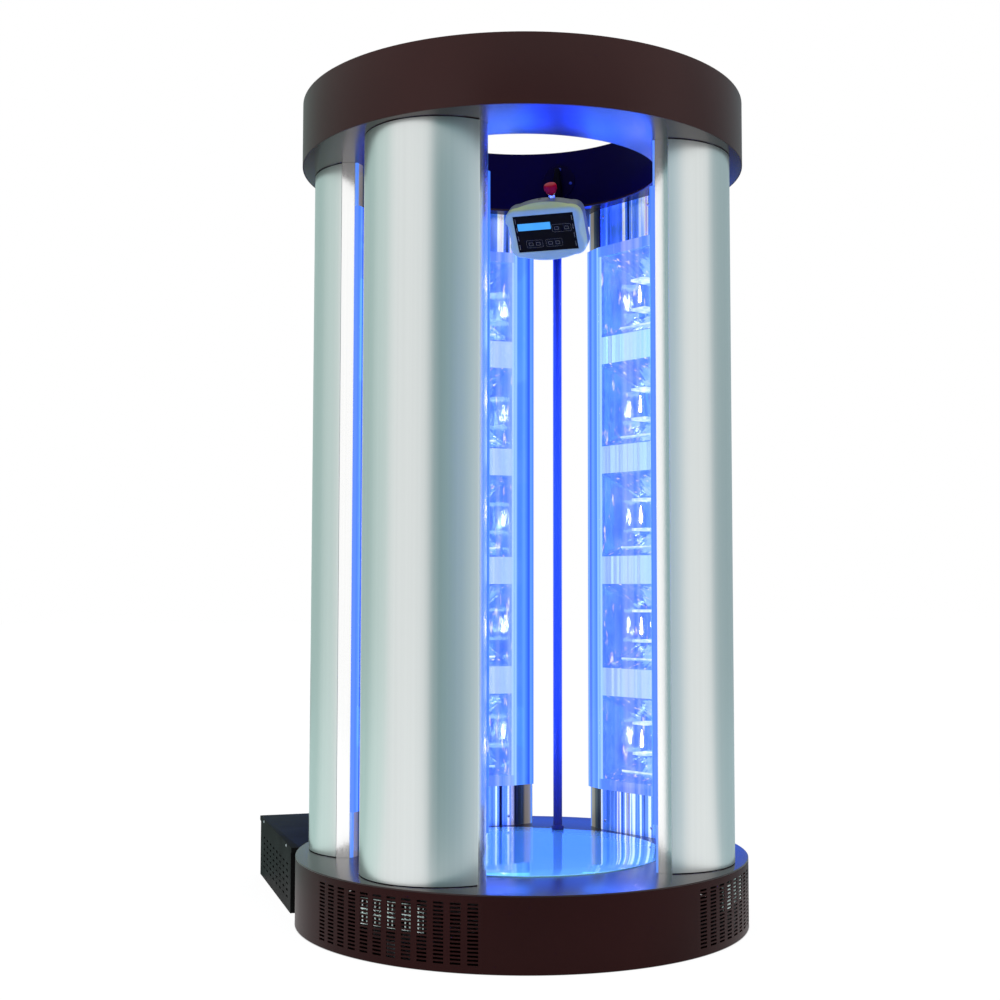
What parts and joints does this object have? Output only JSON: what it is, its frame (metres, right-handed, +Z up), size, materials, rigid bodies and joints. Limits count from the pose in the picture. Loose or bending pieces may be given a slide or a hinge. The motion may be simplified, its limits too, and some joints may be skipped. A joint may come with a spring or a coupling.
{
  "type": "vertical tanning booth",
  "caption": "Walk-in upright tanning booth: curved lamp pillars on a round plinth carry an open crown ring; control head with stop button on a pole, ballast box behind.",
  "frame": {"origin": "centre of the round plinth, on the floor under the hub of its frame", "axes": "+Z up, -Y out of the entrance, +X to the right of someone who faces the entrance"},
  "size_m": [1.26, 1.48, 2.297],
  "materials": {
    "silver_shell": "satin silver with a faint green cast",
    "bright_profile": "bright anodised extrusion",
    "mirror_sheet": "polished reflector sheet",
    "lamp_glass": "quartz burner in white ceramic holders",
    "clear_acrylic": "clear acrylic, lit blue",
    "brown_paint": "satin dark brown coating",
    "gloss_floor": "glossy pale floor",
    "frame_steel": "grey primed steel",
    "fan_frame": "cast metal",
    "fan_plastic": "black moulded",
    "pole_paint": "dark satin paint",
    "black_plastic": "satin black",
    "head_plastic": "pale grey moulded",
    "display_glass": "backlit blue",
    "key_plastic": "black keys",
    "collar_metal": "turned collar",
    "stop_red": "red moulded"
  },
  "bodies": {
    "booth": {"front_left_shell": "silver_shell", "front_right_shell": "silver_shell", "rear_left_shell": "silver_shell", "rear_right_shell": "silver_shell", "rear_shell": "silver_shell", "front_left_profile_a": "bright_profile", "front_left_profile_b": "bright_profile", "front_right_profile_a": "bright_profile", "front_right_profile_b": "bright_profile", "rear_left_profile_a": "bright_profile", "rear_left_profile_b": "bright_profile", "rear_right_profile_a": "bright_profile", "rear_right_profile_b": "bright_profile", "rear_profile_a": "bright_profile", "rear_profile_b": "bright_profile", "front_left_mirror_panel": "mirror_sheet", "front_right_mirror_panel": "mirror_sheet", "rear_left_mirror_panel": "mirror_sheet", "rear_right_mirror_panel": "mirror_sheet", "rear_mirror_panel": "mirror_sheet", "front_left_lamp_bank": "lamp_glass", "front_right_lamp_bank": "lamp_glass", "rear_left_lamp_bank": "lamp_glass", "rear_right_lamp_bank": "lamp_glass", "rear_lamp_bank": "lamp_glass", "front_left_lamp_cover": "clear_acrylic", "front_right_lamp_cover": "clear_acrylic", "rear_left_lamp_cover": "clear_acrylic", "rear_right_lamp_cover": "clear_acrylic", "rear_lamp_cover": "clear_acrylic", "crown_band": "brown_paint", "crown_soffit": "brown_paint", "crown_lid": "brown_paint", "base_frame": "frame_steel", "plinth_skirt": "brown_paint", "deck_ring": "brown_paint", "floor_plate": "gloss_floor", "intake_grille_left": "brown_paint", "intake_grille_right": "brown_paint", "fan_housing_left": "fan_frame", "fan_housing_right": "fan_frame", "box_casing": "brown_paint", "box_lid": "brown_paint", "ballast_bank": "frame_steel", "pole": "pole_paint", "pole_bracket": "black_plastic", "head_back": "head_plastic", "head_front": "head_plastic", "keypad_panel": "black_plastic", "display_window": "display_glass", "stop_collar": "collar_metal"},
    "left_impeller": {"fan_impeller_left": "fan_plastic"},
    "right_impeller": {"fan_impeller_right": "fan_plastic"},
    "time_down_button": {"time_down_key": "key_plastic"},
    "time_up_button": {"time_up_key": "key_plastic"},
    "fan_down_button": {"fan_down_key": "key_plastic"},
    "fan_up_button": {"fan_up_key": "key_plastic"},
    "start_button": {"start_key": "key_plastic"},
    "end_button": {"stop_key": "key_plastic"},
    "emergency_stop": {"stop_button": "stop_red"}
  },
  "joints": [
    {"name": "left_impeller_spin", "type": "hinge", "parent": "booth", "child": "left_impeller", "pos_m": [-0.44612, -0.36907, 0.1118], "axis": [-0.7705, -0.6374, 0], "continuous": true},
    {"name": "right_impeller_spin", "type": "hinge", "parent": "booth", "child": "right_impeller", "pos_m": [0.44612, -0.36907, 0.1118], "axis": [0.7705, -0.6374, 0], "continuous": true},
    {"name": "time_down_press", "type": "slide", "parent": "booth", "child": "time_down_button", "axis": [0.4649, 0.6494, 0.6018], "range_m": [0, 0.001], "stiffness_N_per_m": 400, "springref_m": -0.001},
    {"name": "time_up_press", "type": "slide", "parent": "booth", "child": "time_up_button", "axis": [0.4649, 0.6494, 0.6018], "range_m": [0, 0.001], "stiffness_N_per_m": 400, "springref_m": -0.001},
    {"name": "fan_down_press", "type": "slide", "parent": "booth", "child": "fan_down_button", "axis": [0.4649, 0.6494, 0.6018], "range_m": [0, 0.001], "stiffness_N_per_m": 400, "springref_m": -0.001},
    {"name": "fan_up_press", "type": "slide", "parent": "booth", "child": "fan_up_button", "axis": [0.4649, 0.6494, 0.6018], "range_m": [0, 0.001], "stiffness_N_per_m": 400, "springref_m": -0.001},
    {"name": "start_press", "type": "slide", "parent": "booth", "child": "start_button", "axis": [0.4649, 0.6494, 0.6018], "range_m": [0, 0.001], "stiffness_N_per_m": 400, "springref_m": -0.001},
    {"name": "end_press", "type": "slide", "parent": "booth", "child": "end_button", "axis": [0.4649, 0.6494, 0.6018], "range_m": [0, 0.001], "stiffness_N_per_m": 400, "springref_m": -0.001},
    {"name": "emergency_stop_press", "type": "slide", "parent": "booth", "child": "emergency_stop", "axis": [0.3503, 0.4893, -0.7986], "range_m": [0, 0.004], "stiffness_N_per_m": 800, "springref_m": -0.004}
  ]
}
